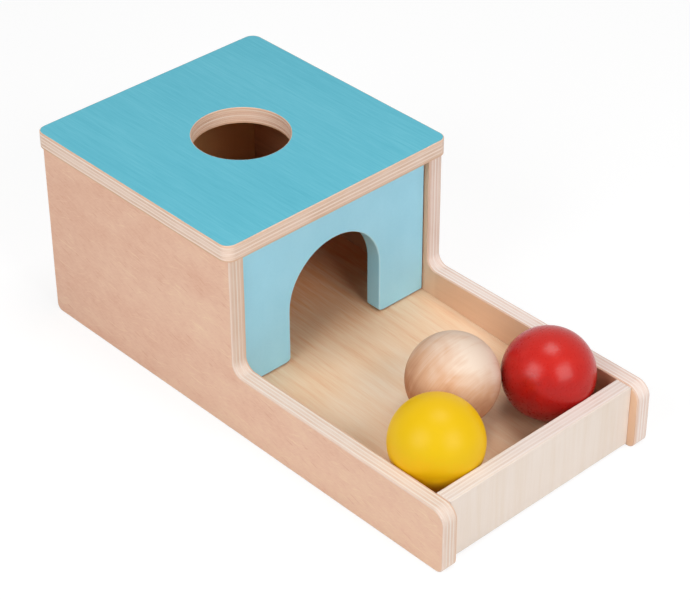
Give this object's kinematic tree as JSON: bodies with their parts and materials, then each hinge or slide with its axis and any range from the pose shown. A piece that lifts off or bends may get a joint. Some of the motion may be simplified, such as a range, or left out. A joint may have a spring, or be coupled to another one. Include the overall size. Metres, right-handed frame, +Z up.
{
  "type": "object permanence box",
  "caption": "Wooden box with a round drop hole in its lid, a sloping floor, an arched doorway and a tray that catches the balls.",
  "frame": {"origin": "centre of the whole object's footprint, on the table that the side panels stand on", "axes": "+X to the right seen from the tray end, +Y from the tray towards the rear panel, +Z up"},
  "size_m": [0.1512, 0.3, 0.1145],
  "materials": {
    "side_ply": "plywood with a pinkish tan face veneer and bare, eased ply edges, satin clear coat",
    "inner_ply": "plywood with a tan face veneer, satin clear coat",
    "lid_blue": "plywood, top face stained turquoise blue with its grain showing, bare eased edges",
    "arch_blue": "light blue satin paint on every face and edge",
    "floor_veneer": "straight-grained pale yellow veneer, satin clear coat",
    "rail_ply": "plywood with a pale cream face veneer and a bare, eased top edge",
    "hidden_wood": "bare beech",
    "ball_red": "red stained beech under a satin clear coat",
    "ball_yellow": "yellow stained beech under a satin clear coat",
    "ball_natural": "natural beech with curved grain, satin clear coat"
  },
  "bodies": {
    "root": {"left_side": "side_ply", "right_side": "side_ply", "lid": "lid_blue", "arch_panel": "arch_blue", "rear_panel": "inner_ply", "floor_board": "floor_veneer", "front_rail": "rail_ply", "left_cleat": "hidden_wood", "right_cleat": "hidden_wood", "lid_dowels": "hidden_wood", "arch_dowels": "hidden_wood", "rear_dowels": "hidden_wood", "rail_dowels": "hidden_wood"},
    "red_ball": {"red_ball": "ball_red"},
    "yellow_ball": {"yellow_ball": "ball_yellow"},
    "natural_ball": {"natural_ball": "ball_natural"}
  },
  "joints": [
    {"name": "natural_ball_roll", "type": "slide", "parent": "root", "child": "natural_ball", "axis": [0, 0.9985, 0.0545], "range_m": [0, 0.1966]},
    {"name": "red_ball_lift", "type": "slide", "parent": "root", "child": "red_ball", "axis": [0, 0, 1], "range_m": [0, 0.12]},
    {"name": "yellow_ball_lift", "type": "slide", "parent": "root", "child": "yellow_ball", "axis": [0, 0, 1], "range_m": [0, 0.12]}
  ]
}
